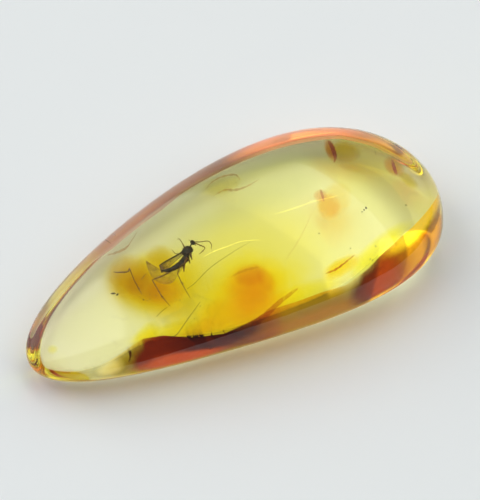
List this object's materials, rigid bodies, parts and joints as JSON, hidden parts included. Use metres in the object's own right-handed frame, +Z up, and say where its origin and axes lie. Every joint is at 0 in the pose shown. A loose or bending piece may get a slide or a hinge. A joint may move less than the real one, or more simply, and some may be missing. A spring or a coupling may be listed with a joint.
{
  "type": "insect in amber",
  "caption": "Polished drop-shaped piece of clear amber with a flat underside and a small winged gnat sealed inside.",
  "frame": {"origin": "middle of the outline, on the plane of the ground-flat underside", "axes": "+X along the drop from its thin tip to its broad end, +Z up through the dome"},
  "size_m": [0.042, 0.02, 0.0106],
  "materials": {
    "amber": "polished, clear, yellow to orange",
    "chitin": "dark brown, fine, slightly glossy"
  },
  "bodies": {
    "root": {"amber_upper": "amber", "amber_lower": "amber", "insect": "chitin", "loose_leg": "chitin"}
  },
  "joints": []
}
